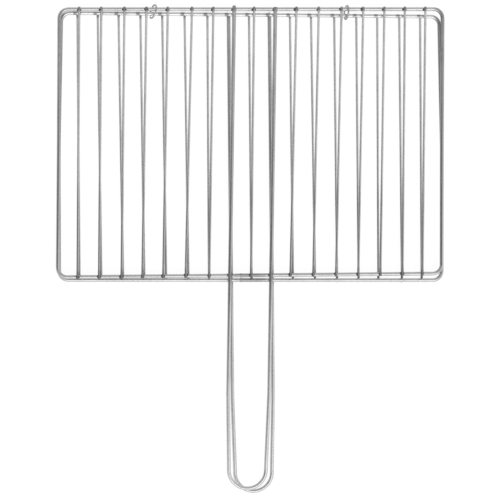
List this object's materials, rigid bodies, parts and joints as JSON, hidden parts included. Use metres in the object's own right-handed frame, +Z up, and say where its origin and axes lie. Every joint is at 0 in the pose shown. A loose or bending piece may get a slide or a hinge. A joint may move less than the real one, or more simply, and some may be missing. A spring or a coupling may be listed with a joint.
{
  "type": "hinged wire grill grate",
  "caption": "Flat double grill basket of bright steel wire, hinged by two small open rings, with long U-shaped wire handles that close together over the food",
  "frame": {"origin": "middle of the floor under the closed part, which lies flat", "axes": "+Z up, +Y along the part from the handle towards the hinge, +X to the right when seen from above with the handle towards the viewer"},
  "size_m": [0.3524, 0.4426, 0.0137],
  "materials": {
    "frame_wire": "bright plated steel wire, lightly used",
    "bar_wire": "bright plated thinner wire with grey spot welds",
    "ring_wire": "plain drawn wire, slightly dull"
  },
  "bodies": {
    "lower_grate": {"lower_frame": "frame_wire", "lower_handle": "frame_wire", "lower_bar_01": "bar_wire", "lower_bar_02": "bar_wire", "lower_bar_03": "bar_wire", "lower_bar_04": "bar_wire", "lower_bar_05": "bar_wire", "lower_bar_06": "bar_wire", "lower_bar_07": "bar_wire", "lower_bar_08": "bar_wire", "lower_bar_09": "bar_wire", "lower_bar_10": "bar_wire", "lower_bar_11": "bar_wire", "lower_bar_12": "bar_wire", "lower_bar_13": "bar_wire", "lower_bar_14": "bar_wire", "lower_bar_15": "bar_wire"},
    "left_ring": {"left_ring": "ring_wire"},
    "upper_grate": {"upper_frame": "frame_wire", "upper_handle": "frame_wire", "upper_bar_01": "bar_wire", "upper_bar_02": "bar_wire", "upper_bar_03": "bar_wire", "upper_bar_04": "bar_wire", "upper_bar_05": "bar_wire", "upper_bar_06": "bar_wire", "upper_bar_07": "bar_wire", "upper_bar_08": "bar_wire", "upper_bar_09": "bar_wire", "upper_bar_10": "bar_wire", "upper_bar_11": "bar_wire", "upper_bar_12": "bar_wire", "upper_bar_13": "bar_wire", "upper_bar_14": "bar_wire", "upper_bar_15": "bar_wire"},
    "right_ring": {"right_ring": "ring_wire"}
  },
  "joints": [
    {"name": "left_ring_turn", "type": "hinge", "parent": "lower_grate", "child": "left_ring", "pos_m": [-0.08718, 0.21302, 0.00495], "axis": [-0.9999, 0.0105, 0], "range_deg": [0, 15]},
    {"name": "upper_hinge", "type": "hinge", "parent": "left_ring", "child": "upper_grate", "pos_m": [-0.08718, 0.21649, 0.00875], "axis": [-1, 0, 0], "range_deg": [0, 165]},
    {"name": "right_ring_turn", "type": "hinge", "parent": "lower_grate", "child": "right_ring", "pos_m": [0.08718, 0.21119, 0.00495], "axis": [-0.9999, 0.0105, 0], "range_deg": [0, 40]}
  ],
  "couplings": [
    {"joint": "right_ring_turn", "follows": "left_ring_turn", "ratio": 1}
  ]
}
